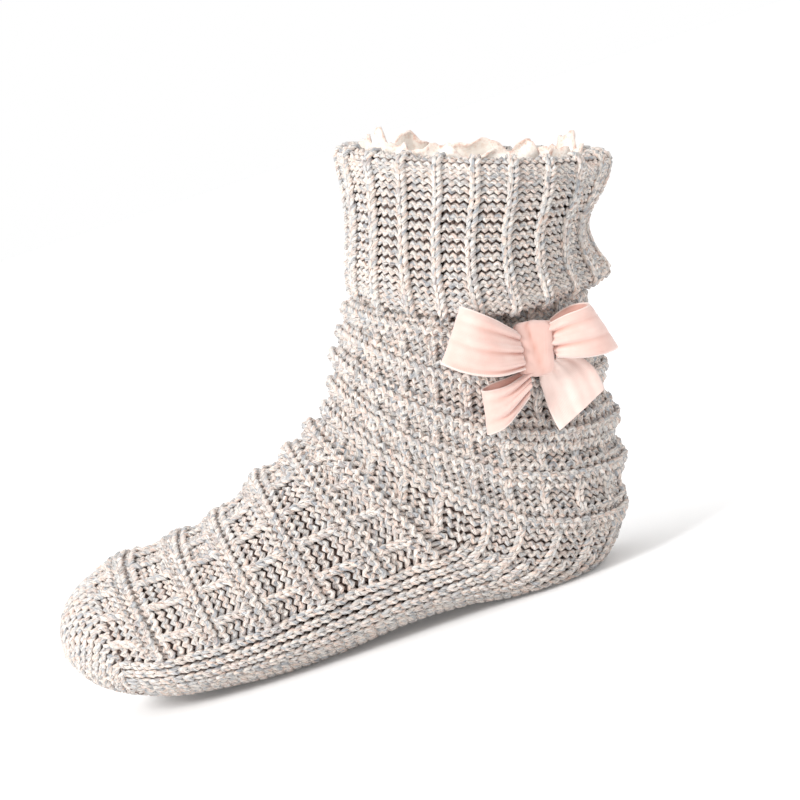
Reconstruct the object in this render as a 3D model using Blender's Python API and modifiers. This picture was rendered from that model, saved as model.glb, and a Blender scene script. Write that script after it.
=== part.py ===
"""A left slipper sock: a knitted body, a turned-down rib cuff, a fleece lining edge and a ribbon bow.

The toe points to -X, the outer side of the foot to -Y and the leg up +Z. The sole rests on z = 0.
Every ring of the sock runs from the sole or the back, round the outer side, to the instep or the front.
"""

import math

import bmesh
import bpy
from mathutils import Matrix, Vector
from mathutils.bvhtree import BVHTree

# Driving sizes in metres
FOOT_LENGTH = 0.250       # toe tip to the back of the heel, outside the knit
BALL_WIDTH = 0.097        # widest part of the foot
INSTEP_HEIGHT = 0.098     # floor to the bend between instep and leg
LEG_LENGTH = 0.117        # ankle point to collar, along the leg
LEG_DEPTH = 0.102         # front to back across the collar of the body
LEG_WIDTH = 0.092         # side to side across the collar of the body
LEG_LEAN = math.radians(20.0)   # backward lean of the leg from upright
ANKLE_X = 0.760           # place of the ankle point, as a share of FOOT_LENGTH
ANKLE_Z = 0.673           # height of the ankle point, as a share of INSTEP_HEIGHT
TOE_SHIFT = 0.004         # the toe's turn towards the inner side of the foot
WALL = 0.004              # thickness of the knit
RIDGE_HEIGHT = 0.0013     # how far a purl ridge stands proud
ROLL_HEIGHT = 0.0032      # how far a slouch roll of the leg stands proud
ROLL_DROOP = 0.0036       # how far the heaviest roll hangs over what is below it
GAP = 0.0003              # space between pieces that touch

CUFF_WALL = 0.0046        # thickness of the doubled cuff
CUFF_RIBS = 22
CUFF_RIB_HEIGHT = 0.0011
CUFF_WAVE = 0.0022        # depth of the waves of the hem
CUFF_THINNING = 0.35      # share of its thickness that the cuff loses at its hem and its top fold

LINING_WALL = 0.0022      # thickness of the fleece
LINING_DEPTH = 0.022      # how far the modelled lining edge reaches down inside
LINING_RISE = 0.0045      # mean height of the ragged edge above the collar
LINING_FLAP = 0.0055      # how much higher its two tall flaps stand

RIBBON_WIDTH = 0.025
RIBBON_WALL = 0.0014
RIBBON_CROWN = 0.0012     # how far the ribbon bulges between its edges
KNOT_WIDTH = 0.017
KNOT_HEIGHT = 0.023
KNOT_DEPTH = 0.011
KNOT_FLARE = 0.12         # how much wider the knot's band is at its top than at its middle
KNOT_LEAN = math.radians(-14.0)   # lean of the knot from upright
BOW_RISE = 0.385          # height of the knot above the ankle point, as a share of LEG_LENGTH
BOW_BACK = 0.230          # distance of the knot behind the ankle point, as a share of LEG_DEPTH
BOW_TURN = math.radians(12.0)   # turn of the bow round the leg, away from the viewer at the heel

# Roundness of the rings: 1 is an ellipse, and less is squarer
SOLE_ROUNDNESS = 0.80
TOP_ROUNDNESS = 0.94

# Share of the way round, from the middle of the sole, at which the ribbed upper starts
SOLE_EDGE = 0.215
SOLE_BLEND = 0.03

# Places of the relief, counted in purl ridges from the toe
RIDGES_START = -0.5
RIDGES_END = 10.6
HEEL_BLEND_START = 5.7    # where the ridges start to run right round the back
HEEL_BLEND_END = 6.0
RIDGE_SHARPNESS = 1.5
DROOP_RIDGE = 7.86        # the heaviest roll, which sags over the one below
DROOP_SPREAD = 0.16

# Waves of the cuff: count round the leg, share of CUFF_WAVE and phase
CUFF_WAVES = [(5, 1.0, 0.8), (9, 0.5, 0.0)]

# Ragged edge of the lining: count round the leg, share of LINING_RISE and phase
LINING_TEETH = [(11, 0.35, 0.0), (17, 0.25, 1.3)]
# Its tall flaps: turn, half width as a share of the turn and share of LINING_FLAP
LINING_FLAPS = [(0.47, 0.035, 1.0), (0.93, 0.040, 0.8)]

# Sampling of the faceted solids
BODY_SIDES = 36
INNER_STEPS = 24
INNER_START = 1.55        # first place of the inside, in rows from the toe tip
CUFF_SIDES_PER_RIB = 4
CUFF_STEPS = 8
LINING_SIDES = 72
RIBBON_COLUMNS = 4
RIBBON_STEPS = 2
SEATING_STEPS = 10

# Sections of the foot. x is a share of FOOT_LENGTH, z of INSTEP_HEIGHT and half_width of BALL_WIDTH.
# ridge counts the purl ridges from the toe, and roll is the share of ROLL_HEIGHT there.
# name, back_x, back_z, side_x, side_z, front_x, front_z, half_width, ridge, roll
FOOT_SECTIONS = [
    ("tip", 0.004, 0.330, 0.002, 0.380, 0.004, 0.430, 0.090, -1.30, 0.0),
    ("toe_end", 0.012, 0.268, 0.012, 0.385, 0.013, 0.515, 0.200, -1.15, 0.0),
    ("toe_round", 0.032, 0.196, 0.034, 0.375, 0.035, 0.572, 0.290, -0.95, 0.0),
    ("toe_cap", 0.066, 0.135, 0.066, 0.365, 0.064, 0.615, 0.368, -0.65, 0.0),
    ("toe", 0.112, 0.084, 0.108, 0.350, 0.096, 0.640, 0.430, -0.35, 0.0),
    ("ridge_1", 0.184, 0.034, 0.172, 0.320, 0.141, 0.655, 0.475, 0.0, 0.10),
    ("ridge_2", 0.280, 0.004, 0.270, 0.315, 0.240, 0.672, 0.500, 1.0, 0.10),
    ("ridge_3", 0.370, -0.012, 0.357, 0.330, 0.316, 0.705, 0.498, 2.0, 0.15),
    ("ridge_4", 0.465, 0.000, 0.450, 0.355, 0.404, 0.808, 0.478, 3.0, 0.25),
    ("ridge_5", 0.572, 0.030, 0.556, 0.375, 0.472, 0.876, 0.452, 4.0, 0.35),
    ("ridge_6", 0.676, 0.024, 0.642, 0.385, 0.520, 0.938, 0.432, 5.0, 0.50),
    ("heel_front", 0.762, -0.008, 0.672, 0.375, 0.529, 0.950, 0.422, 5.2, 0.0),
    ("heel_floor", 0.838, -0.012, 0.694, 0.375, 0.536, 0.962, 0.416, 5.4, 0.0),
    ("heel_turn", 0.900, 0.010, 0.716, 0.385, 0.543, 0.973, 0.412, 5.6, 0.0),
    ("heel_cup", 0.942, 0.082, 0.738, 0.402, 0.550, 0.985, 0.410, 5.8, 0.0),
    ("ridge_7", 0.972, 0.225, 0.762, 0.430, 0.558, 1.000, 0.408, 6.0, 0.45),
]

# Sections of the leg in its own leaning axes. rise is a share of LEG_LENGTH above the ankle point,
# depth of LEG_DEPTH in front of it (behind it where negative) and half_width of LEG_WIDTH.
# name, back_rise, back_depth, side_rise, side_depth, front_rise, front_depth, half_width, ridge, roll
LEG_SECTIONS = [
    ("ridge_8", -0.028, -0.618, -0.040, -0.048, 0.196, 0.545, 0.432, 7.0, 0.60),
    ("ridge_9", 0.134, -0.572, 0.105, -0.031, 0.290, 0.528, 0.444, 8.0, 1.00),
    ("ridge_10", 0.296, -0.520, 0.270, -0.012, 0.380, 0.510, 0.456, 9.0, 0.75),
    ("ridge_11", 0.446, -0.480, 0.424, 0.006, 0.466, 0.492, 0.456, 10.0, 0.70),
    ("under_hem", 0.592, -0.456, 0.570, 0.008, 0.556, 0.464, 0.450, 11.0, 0.0),
    ("under_cuff", 0.790, -0.430, 0.790, 0.010, 0.790, 0.455, 0.452, 11.4, 0.0),
    ("collar", 1.000, -0.480, 1.000, 0.015, 1.000, 0.520, 0.500, 11.8, 0.0),
]

# Sections of the outside of the cuff, in the same axes and shares as the leg, hem first
CUFF_SECTIONS = [
    ("hem", 0.640, -0.520, 0.520, 0.000, 0.560, 0.500, 0.550, 0.0, 1.0),
    ("low", 0.715, -0.462, 0.615, 0.004, 0.640, 0.512, 0.545, 0.0, 0.8),
    ("middle", 0.820, -0.440, 0.760, 0.008, 0.780, 0.518, 0.540, 0.0, 0.4),
    ("high", 0.950, -0.508, 0.910, 0.012, 0.930, 0.545, 0.548, 0.0, 0.3),
    ("top", 1.022, -0.530, 1.000, 0.015, 1.014, 0.572, 0.552, 0.0, 0.3),
]


def smooth_step(value, start, end):
    """0 before start, 1 after end, and a smooth climb between."""
    share = min(max((value - start) / (end - start), 0.0), 1.0)
    return share * share * (3.0 - 2.0 * share)


def leg_to_side(rise, depth):
    """A point of the leg's leaning axes as side-view x and z."""
    along = rise * LEG_LENGTH
    ahead = depth * LEG_DEPTH
    x = ANKLE_X * FOOT_LENGTH + along * math.sin(LEG_LEAN) - ahead * math.cos(LEG_LEAN)
    z = ANKLE_Z * INSTEP_HEIGHT + along * math.cos(LEG_LEAN) + ahead * math.sin(LEG_LEAN)
    return x, z


def foot_row(row):
    """A foot section in metres: six side-view numbers, half width, ridge count and roll."""
    name, back_x, back_z, side_x, side_z, front_x, front_z, half_width, ridge, roll = row
    return [
        back_x * FOOT_LENGTH,
        back_z * INSTEP_HEIGHT,
        side_x * FOOT_LENGTH,
        side_z * INSTEP_HEIGHT,
        front_x * FOOT_LENGTH,
        front_z * INSTEP_HEIGHT,
        half_width * BALL_WIDTH,
        ridge,
        roll,
    ]


def leg_row(row):
    """A leg or cuff section in metres, in the same order as a foot section."""
    name, back_rise, back_depth, side_rise, side_depth, front_rise, front_depth, half_width, ridge, roll = row
    back = leg_to_side(back_rise, back_depth)
    side = leg_to_side(side_rise, side_depth)
    front = leg_to_side(front_rise, front_depth)
    return [*back, *side, *front, half_width * LEG_WIDTH, ridge, roll]


BODY_ROWS = [foot_row(row) for row in FOOT_SECTIONS] + [leg_row(row) for row in LEG_SECTIONS]
CUFF_ROWS = [leg_row(row) for row in CUFF_SECTIONS]


def section_at(rows, place):
    """The section at a place counted in rows, on a smooth curve through the rows."""
    place = min(max(place, 0.0), len(rows) - 1.0)
    index = min(int(place), len(rows) - 2)
    share = place - index
    here = rows[index]
    after = rows[index + 1]
    before = rows[max(index - 1, 0)]
    beyond = rows[min(index + 2, len(rows) - 1)]
    section = []
    for a, b, c, d in zip(before, here, after, beyond):
        slope_here = 0.5 * (c - a)
        slope_after = 0.5 * (d - b)
        cube = share ** 3
        square = share ** 2
        value = (2 * cube - 3 * square + 1) * b + (cube - 2 * square + share) * slope_here
        value += (3 * square - 2 * cube) * c + (cube - square) * slope_after
        section.append(value)
    return section


def sock_relief(section, turn):
    """How far the knit stands proud: purl ridges on the upper and rolls on the leg."""
    ridge = section[7]
    roll = max(section[8], 0.0)
    if ridge < RIDGES_START or ridge > RIDGES_END:
        return 0.0
    crest = (0.5 + 0.5 * math.cos(2.0 * math.pi * ridge)) ** RIDGE_SHARPNESS
    from_sole = min(turn, 1.0 - turn)
    upper = smooth_step(from_sole, SOLE_EDGE - SOLE_BLEND, SOLE_EDGE)
    leg = smooth_step(ridge, HEEL_BLEND_START, HEEL_BLEND_END)
    cover = max(upper, leg)
    return crest * cover * (RIDGE_HEIGHT + roll * ROLL_HEIGHT)


def droop_of(section):
    """How far a roll sags along the leg; only the heaviest one hangs over."""
    return ROLL_DROOP * math.exp(-((section[7] - DROOP_RIDGE) / DROOP_SPREAD) ** 2)


def ring_point(section, turn, grow=0.0, relief=0.0):
    """A point of a section: turn is 0 at the sole or back, 0.25 outside, 0.5 at the front."""
    back_x, back_z, side_x, side_z, front_x, front_z, half_width = section[:7]
    cosine = math.cos(2.0 * math.pi * turn)
    sine = math.sin(2.0 * math.pi * turn)
    power = SOLE_ROUNDNESS if cosine > 0.0 else TOP_ROUNDNESS
    lift = 0.5 - 0.5 * math.copysign(abs(cosine) ** power, cosine)
    across = math.copysign(abs(sine) ** power, sine)
    reach = math.hypot(front_x - back_x, front_z - back_z)
    outward = grow + relief
    stretch = 1.0 + 2.0 * outward / reach
    share = 0.5 + (lift - 0.5) * stretch
    control_x = 2.0 * side_x - 0.5 * (back_x + front_x)
    control_z = 2.0 * side_z - 0.5 * (back_z + front_z)
    near = (1.0 - share) ** 2
    middle = 2.0 * share * (1.0 - share)
    far = share ** 2
    x = near * back_x + middle * control_x + far * front_x
    z = near * back_z + middle * control_z + far * front_z
    toe_turn = TOE_SHIFT * (1.0 - smooth_step(x, 0.0, 0.4 * FOOT_LENGTH))
    y = toe_turn - (half_width + outward) * across
    return Vector((x, y, z))


def body_ring(place, inner=False):
    """A ring of the sock body, outside or inside the wall."""
    section = section_at(BODY_ROWS, place)
    droop = 0.0 if inner else droop_of(section)
    ring = []
    for side in range(BODY_SIDES):
        turn = side / BODY_SIDES
        relief = 0.0 if inner else sock_relief(section, turn)
        grow = -WALL if inner else 0.0
        point = ring_point(section, turn, grow, relief)
        back_share = max(math.cos(2.0 * math.pi * turn) + 0.35, 0.0)
        point.x -= droop * back_share * math.sin(LEG_LEAN)
        point.z -= droop * back_share * math.cos(LEG_LEAN)
        floor = WALL if inner else 0.0
        point.z = max(point.z, floor)
        ring.append(point)
    return ring


def loft(name, rings, close_ends):
    """A closed mesh through rings of equal length; open sequences join end to start."""
    mesh = bmesh.new()
    grid = [[mesh.verts.new(point) for point in ring] for ring in rings]
    sides = len(rings[0])
    count = len(grid) - 1 if close_ends else len(grid)
    for index in range(count):
        ring = grid[index]
        following = grid[(index + 1) % len(grid)]
        for side in range(sides):
            after = (side + 1) % sides
            mesh.faces.new((ring[side], ring[after], following[after], following[side]))
    if close_ends:
        for ring in (grid[0], grid[-1]):
            centre = sum((vert.co for vert in ring), Vector()) / sides
            hub = mesh.verts.new(centre)
            for side in range(sides):
                mesh.faces.new((ring[side], ring[(side + 1) % sides], hub))
    bmesh.ops.recalc_face_normals(mesh, faces=mesh.faces)
    bmesh.ops.triangulate(mesh, faces=mesh.faces)
    data = bpy.data.meshes.new(name)
    mesh.to_mesh(data)
    mesh.free()
    data.shade_smooth()
    data.set_sharp_from_angle(angle=math.radians(50.0))
    return bpy.data.objects.new(name, data)


def body_places():
    """Places of the outer rings: more of them where the ridges and rolls are."""
    places = []
    for index in range(len(BODY_ROWS) - 1):
        ridge = BODY_ROWS[index][7]
        if ridge >= 6.0 and ridge < 10.5:
            steps = 4
        elif ridge >= 0.0 and ridge < 5.0:
            steps = 3
        else:
            steps = 1
        places += [index + step / steps for step in range(steps)]
    places.append(len(BODY_ROWS) - 1.0)
    return places


def make_body():
    """The knitted sock: outside rings from toe to collar, then inside rings back to the toe."""
    outer = [body_ring(place) for place in body_places()]
    last = len(BODY_ROWS) - 1.0
    inner = []
    for step in range(INNER_STEPS + 1):
        place = last - (last - INNER_START) * step / INNER_STEPS
        inner.append(body_ring(place, inner=True))
    return loft("sock_body", outer + inner, close_ends=True)


def cuff_outer_point(place, turn):
    """A point on the outside of the cuff, with its ribs and the waves of its hem."""
    section = section_at(CUFF_ROWS, place)
    rib = 0.5 + 0.5 * math.cos(2.0 * math.pi * turn * CUFF_RIBS)
    wave = sum(share * math.sin(2.0 * math.pi * count * turn + phase) for count, share, phase in CUFF_WAVES)
    return ring_point(section, turn, 0.0, CUFF_RIB_HEIGHT * rib ** 2 + CUFF_WAVE * section[8] * wave)


def body_place_of_rise(rise):
    """The place, in rows of the body, of a height on the leg above the last ridge."""
    first = len(FOOT_SECTIONS)
    for index in range(first, len(BODY_ROWS) - 1):
        low = LEG_SECTIONS[index - first][3]
        high = LEG_SECTIONS[index - first + 1][3]
        if rise <= high:
            return index + (rise - low) / (high - low)
    return len(BODY_ROWS) - 1.0


def towards_axis(point):
    """The direction from a point to the leg's leaning axis, square to it."""
    base = leg_to_side(0.0, 0.0)
    axis = Vector((math.sin(LEG_LEAN), 0.0, math.cos(LEG_LEAN)))
    offset = point - Vector((base[0], 0.0, base[1]))
    radial = offset - axis * offset.dot(axis)
    return -radial.normalized()


def make_cuff(body):
    """The cuff: the outside from hem to top, then the inside back down, as thick as it fits."""
    sides = CUFF_RIBS * CUFF_SIDES_PER_RIB
    last = len(CUFF_ROWS) - 1.0
    skin = BVHTree.FromPolygons([vert.co for vert in body.data.vertices],
                                [face.vertices for face in body.data.polygons])
    outside = []
    inside = []
    for step in range(CUFF_STEPS + 1):
        share = step / CUFF_STEPS
        outer_ring = [cuff_outer_point(last * share, side / sides) for side in range(sides)]
        inner_ring = []
        for point in outer_ring:
            inward = towards_axis(point)
            thickness = CUFF_WALL * (1.0 - CUFF_THINNING * abs(2.0 * share - 1.0) ** 6)
            hit = skin.ray_cast(point, inward)
            if hit[0] is not None:
                thickness = min(thickness, hit[3] - 2.0 * GAP)
            inner_ring.append(point + inward * thickness)
        outside.append(outer_ring)
        inside.append(inner_ring)
    return loft("cuff", outside + inside[::-1], close_ends=False)


def lining_edge(turn):
    """Height of the ragged lining edge above the collar."""
    ragged = sum(share * math.sin(2.0 * math.pi * count * turn + phase) for count, share, phase in LINING_TEETH)
    flap = sum(share * math.exp(-((turn - middle) / spread) ** 2) for middle, spread, share in LINING_FLAPS)
    return LINING_RISE * (1.0 + ragged) + LINING_FLAP * flap


def make_lining():
    """The fleece edge: a thin band inside the collar that stands above it."""
    last = len(BODY_ROWS) - 1.0
    axis = Vector((math.sin(LEG_LEAN), 0.0, math.cos(LEG_LEAN)))
    top = section_at(BODY_ROWS, last)
    low = section_at(BODY_ROWS, body_place_of_rise(1.0 - LINING_DEPTH / LEG_LENGTH))
    rings = []
    for inset, ends in ((WALL + GAP, ("low", "rim", "edge")), (WALL + GAP + LINING_WALL, ("edge", "rim", "low"))):
        for end in ends:
            ring = []
            for side in range(LINING_SIDES):
                turn = side / LINING_SIDES
                section = low if end == "low" else top
                point = ring_point(section, turn, -inset, 0.0)
                if end == "edge":
                    point = point + axis * lining_edge(turn)
                ring.append(point)
            rings.append(ring)
    return loft("lining_collar", rings, close_ends=False)


# Ribbon pieces, in the bow's own axes: right runs to the heel, up is up and out faces the viewer.
# Each row is one station along the ribbon, with sizes as shares of RIBBON_WIDTH.
# right, up, out, half_width, width_angle in degrees from right
LOOP_FRONT = [
    (-0.40, 0.02, 0.10, 0.20, 84.0),
    (-0.64, 0.16, 0.08, 0.33, 76.0),
    (-1.02, 0.42, 0.20, 0.44, 64.0),
    (-1.26, 0.66, 0.36, 0.48, 54.0),
    (-1.25, 0.64, 0.54, 0.49, 53.0),
    (-1.00, 0.44, 0.64, 0.47, 60.0),
    (-0.66, 0.24, 0.56, 0.38, 72.0),
    (-0.42, 0.08, 0.42, 0.25, 82.0),
]
LOOP_BACK = [
    (0.42, 0.00, 0.06, 0.20, 96.0),
    (0.62, 0.02, -0.02, 0.33, 100.0),
    (0.94, 0.02, 0.00, 0.42, 104.0),
    (1.15, 0.00, 0.16, 0.44, 106.0),
    (1.14, -0.02, 0.38, 0.43, 106.0),
    (0.92, -0.02, 0.50, 0.40, 104.0),
    (0.64, 0.00, 0.48, 0.33, 100.0),
    (0.46, 0.02, 0.38, 0.24, 96.0),
]
TAIL_FRONT = [
    (-0.42, -0.46, 0.12, 0.15, 66.0),
    (-0.62, -0.57, 0.02, 0.26, 72.0),
    (-0.92, -0.66, 0.04, 0.34, 78.0),
    (-1.10, -0.70, 0.16, 0.36, 80.0),
    (-1.02, -0.72, 0.32, 0.35, 76.0),
    (-0.74, -0.70, 0.36, 0.32, 70.0),
    (-0.46, -0.64, 0.30, 0.22, 64.0),
]
TAIL_BACK = [
    (0.26, -0.58, 0.08, 0.20, 20.0),
    (0.34, -0.66, 0.04, 0.38, 14.0),
    (0.42, -0.90, 0.04, 0.46, 10.0),
    (0.44, -1.18, 0.08, 0.49, 12.0),
    (0.46, -1.42, 0.12, 0.50, 22.0),
]
RIBBON_PIECES = [
    ("bow_loop_front", LOOP_FRONT),
    ("bow_loop_back", LOOP_BACK),
    ("bow_tail_front", TAIL_FRONT),
    ("bow_tail_back", TAIL_BACK),
]


def bow_seat(body):
    """The middle of the knot's back, where it is sewn to the outer side of the leg."""
    x, z = leg_to_side(BOW_RISE, -BOW_BACK)
    skin = BVHTree.FromPolygons([vert.co for vert in body.data.vertices],
                                [face.vertices for face in body.data.polygons])
    depths = []
    for right in (-0.3, 0.0, 0.3):
        for up in (-0.35, -0.18, 0.0, 0.18, 0.35):
            shift = right * KNOT_WIDTH
            start = Vector((x + shift * math.cos(BOW_TURN), -2.0 * LEG_WIDTH, z + up * KNOT_HEIGHT))
            hit = skin.ray_cast(start, Vector((0.0, 1.0, 0.0)))
            depths.append(hit[0].y - shift * math.sin(BOW_TURN))
    return Vector((x, min(depths) - GAP, z))


def bow_point(seat, right, up, out):
    """A point of the bow's own axes, turned a little to follow the round of the leg."""
    along = right * math.cos(BOW_TURN) + out * math.sin(BOW_TURN)
    away = right * math.sin(BOW_TURN) - out * math.cos(BOW_TURN)
    return seat + Vector((along, away, up))


def make_ribbon(name, rows, seat):
    """A strip of ribbon through its stations, with the thickness of the doubled edge."""
    mesh = bmesh.new()
    grid = []
    for index in range((len(rows) - 1) * RIBBON_STEPS + 1):
        right, up, out, half_width, angle = section_at(rows, index / RIBBON_STEPS)
        tilt = math.radians(angle)
        line = []
        for column in range(RIBBON_COLUMNS + 1):
            share = 2.0 * column / RIBBON_COLUMNS - 1.0
            reach = share * half_width * RIBBON_WIDTH
            crown = RIBBON_CROWN * (1.0 - share * share)
            point = bow_point(
                seat,
                right * RIBBON_WIDTH + reach * math.cos(tilt),
                up * RIBBON_WIDTH + reach * math.sin(tilt),
                out * RIBBON_WIDTH + crown,
            )
            line.append(mesh.verts.new(point))
        grid.append(line)
    for index in range(len(grid) - 1):
        for column in range(RIBBON_COLUMNS):
            mesh.faces.new((
                grid[index][column],
                grid[index][column + 1],
                grid[index + 1][column + 1],
                grid[index + 1][column],
            ))
    bmesh.ops.recalc_face_normals(mesh, faces=mesh.faces)
    data = bpy.data.meshes.new(name)
    mesh.to_mesh(data)
    mesh.free()
    data.shade_smooth()
    ribbon = bpy.data.objects.new(name, data)
    wall = ribbon.modifiers.new("wall", "SOLIDIFY")
    wall.thickness = RIBBON_WALL
    wall.offset = 0.0
    return ribbon


def make_knot(seat):
    """The knot: a rounded band of ribbon round the middle of the bow."""
    mesh = bmesh.new()
    bmesh.ops.create_uvsphere(mesh, u_segments=16, v_segments=10, radius=1.0)
    for vert in mesh.verts:
        x, y, z = vert.co
        flat = 0.5 * KNOT_DEPTH * (1.0 - y)
        wide = 0.5 * KNOT_WIDTH * math.copysign(abs(x) ** SOLE_ROUNDNESS, x) * (1.0 + KNOT_FLARE * z)
        high = 0.5 * KNOT_HEIGHT * math.copysign(abs(z) ** SOLE_ROUNDNESS, z)
        right = wide * math.cos(KNOT_LEAN) - high * math.sin(KNOT_LEAN)
        up = wide * math.sin(KNOT_LEAN) + high * math.cos(KNOT_LEAN)
        vert.co = bow_point(seat, right, up, flat)
    bmesh.ops.recalc_face_normals(mesh, faces=mesh.faces)
    data = bpy.data.meshes.new("bow_knot")
    mesh.to_mesh(data)
    mesh.free()
    data.shade_smooth()
    return bpy.data.objects.new("bow_knot", data)


def seat_on_knot(ribbon, knot):
    """Slide a loop or tail towards the knot, which holds it, until one GAP is left between them."""
    skin = BVHTree.FromPolygons([vert.co for vert in knot.data.vertices],
                                [face.vertices for face in knot.data.polygons])
    middle = sum((vert.co for vert in knot.data.vertices), Vector()) / len(knot.data.vertices)
    for step in range(SEATING_STEPS):
        nearest = min((skin.find_nearest(vert.co) for vert in ribbon.data.vertices), key=lambda hit: hit[3])
        slide = middle - nearest[0]
        slide.y = 0.0
        slide *= (nearest[3] - 0.5 * RIBBON_WALL - GAP) / slide.length
        ribbon.data.transform(Matrix.Translation(slide))
    return ribbon


def make_material(name, colour, roughness):
    """A plain finish with the part's own colour."""
    material = bpy.data.materials.new(name)
    material.use_nodes = True
    shader = material.node_tree.nodes["Principled BSDF"]
    shader.inputs["Base Color"].default_value = (*colour, 1.0)
    shader.inputs["Roughness"].default_value = roughness
    shader.inputs["Metallic"].default_value = 0.0
    return material


def stand_on_floor(pieces):
    """Centre the whole sock over the origin, with its lowest point on the floor."""
    corners = [vert.co for piece in pieces for vert in piece.data.vertices]
    middle_x = 0.5 * (min(point.x for point in corners) + max(point.x for point in corners))
    middle_y = 0.5 * (min(point.y for point in corners) + max(point.y for point in corners))
    low = min(point.z for point in corners)
    for piece in pieces:
        piece.location = (-middle_x, -middle_y, -low)


def main():
    for old in list(bpy.data.objects):
        bpy.data.objects.remove(old, do_unlink=True)
    knit = make_material("marled_knit", (0.62, 0.56, 0.53), 0.95)
    fleece = make_material("cream_fleece", (0.92, 0.86, 0.78), 0.95)
    ribbon = make_material("pink_ribbon", (0.90, 0.66, 0.58), 0.55)
    body = make_body()
    seat = bow_seat(body)
    knot = make_knot(seat)
    pieces = [(body, knit), (make_cuff(body), knit), (make_lining(), fleece), (knot, ribbon)]
    for name, rows in RIBBON_PIECES:
        pieces.append((seat_on_knot(make_ribbon(name, rows, seat), knot), ribbon))
    collection = bpy.data.collections.new("slipper_sock")
    bpy.context.scene.collection.children.link(collection)
    for piece, material in pieces:
        piece.data.materials.append(material)
        collection.objects.link(piece)
    stand_on_floor([piece for piece, material in pieces])


main()
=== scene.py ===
"""Looks of the left slipper sock: knit worked stitch by stitch, fleece lining and ribbon bow.

The sock's own axes run from the toe tip along +X to the heel, the outer side faces -Y, and the
floor is z = 0. Everything is in metres. The shape tables are the part's own, so the stitches lie on
the same last as the solids. The scene's frame differs from them by one shift, read from the frame.

A course is a row of stitches and a wale a column of them. A place is counted in rows of a shape
table, and a turn is the share of the way round, from the sole or the back over the outer side.
"""

import math

import bpy
import numpy as np
from mathutils import Matrix, Vector
from mathutils.bvhtree import BVHTree

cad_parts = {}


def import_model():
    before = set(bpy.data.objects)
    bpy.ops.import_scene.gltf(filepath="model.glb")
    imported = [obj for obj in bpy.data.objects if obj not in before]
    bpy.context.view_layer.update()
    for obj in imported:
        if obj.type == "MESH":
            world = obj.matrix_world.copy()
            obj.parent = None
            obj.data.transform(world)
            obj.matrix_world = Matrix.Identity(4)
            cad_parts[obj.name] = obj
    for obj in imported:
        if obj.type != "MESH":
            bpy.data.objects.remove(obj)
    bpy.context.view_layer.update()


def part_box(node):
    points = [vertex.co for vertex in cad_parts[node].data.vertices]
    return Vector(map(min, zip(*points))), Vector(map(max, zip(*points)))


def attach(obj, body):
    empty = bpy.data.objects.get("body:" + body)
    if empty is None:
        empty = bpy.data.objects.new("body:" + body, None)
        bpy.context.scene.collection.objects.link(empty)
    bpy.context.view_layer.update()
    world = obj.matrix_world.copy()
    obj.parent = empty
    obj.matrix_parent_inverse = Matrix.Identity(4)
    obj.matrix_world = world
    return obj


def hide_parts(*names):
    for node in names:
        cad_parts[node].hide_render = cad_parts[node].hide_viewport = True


TAU = 2.0 * math.pi

# Driving sizes of the sock
FOOT_LENGTH = 0.250
BALL_WIDTH = 0.097
INSTEP_HEIGHT = 0.098
LEG_LENGTH = 0.117
LEG_DEPTH = 0.102
LEG_WIDTH = 0.092
LEG_LEAN = math.radians(20.0)
LEG_UP = np.array([math.sin(LEG_LEAN), 0.0, math.cos(LEG_LEAN)])
ANKLE_X = 0.760
ANKLE_Z = 0.673
TOE_SHIFT = 0.004
TOE_SHIFT_END = 0.4
SOLE_ROUNDNESS = 0.80
TOP_ROUNDNESS = 0.94
BODY_SIDES = 36

# Purl ridges and slouch rolls
RIDGE_HEIGHT = 0.0013
ROLL_HEIGHT = 0.0032
ROLL_DROOP = 0.0036
RIDGES_START = -0.5
RIDGES_END = 10.6
RIDGE_SHARPNESS = 1.5
DROOP_RIDGE = 7.86
DROOP_SPREAD = 0.16
DROOP_REACH = 0.35
SOLE_EDGE = 0.234
SOLE_BLEND = 0.03
HEEL_BLEND_START = 5.7
HEEL_BLEND_END = 6.0

# Foot sections, toe to heel: back x z, side x z, front x z, half width, ridge count, roll
FOOT_SECTIONS = [
    (0.004, 0.330, 0.002, 0.380, 0.004, 0.430, 0.090, -1.30, 0.00),
    (0.012, 0.268, 0.012, 0.385, 0.013, 0.515, 0.200, -1.15, 0.00),
    (0.032, 0.196, 0.034, 0.375, 0.035, 0.572, 0.290, -0.95, 0.00),
    (0.066, 0.135, 0.066, 0.365, 0.064, 0.615, 0.368, -0.65, 0.00),
    (0.112, 0.084, 0.108, 0.350, 0.096, 0.640, 0.430, -0.35, 0.00),
    (0.184, 0.034, 0.172, 0.320, 0.141, 0.655, 0.475, 0.0, 0.10),
    (0.280, 0.004, 0.270, 0.315, 0.240, 0.672, 0.500, 1.0, 0.10),
    (0.370, -0.012, 0.357, 0.330, 0.316, 0.705, 0.498, 2.0, 0.15),
    (0.465, 0.000, 0.450, 0.355, 0.404, 0.808, 0.478, 3.0, 0.25),
    (0.572, 0.030, 0.556, 0.375, 0.472, 0.876, 0.452, 4.0, 0.35),
    (0.676, 0.024, 0.642, 0.385, 0.520, 0.938, 0.432, 5.0, 0.50),
    (0.762, -0.008, 0.672, 0.375, 0.529, 0.950, 0.422, 5.2, 0.00),
    (0.838, -0.012, 0.694, 0.375, 0.536, 0.962, 0.416, 5.4, 0.00),
    (0.900, 0.010, 0.716, 0.385, 0.543, 0.973, 0.412, 5.6, 0.00),
    (0.942, 0.082, 0.738, 0.402, 0.550, 0.985, 0.410, 5.8, 0.00),
    (0.972, 0.225, 0.762, 0.430, 0.558, 1.000, 0.408, 6.0, 0.45),
]

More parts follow.
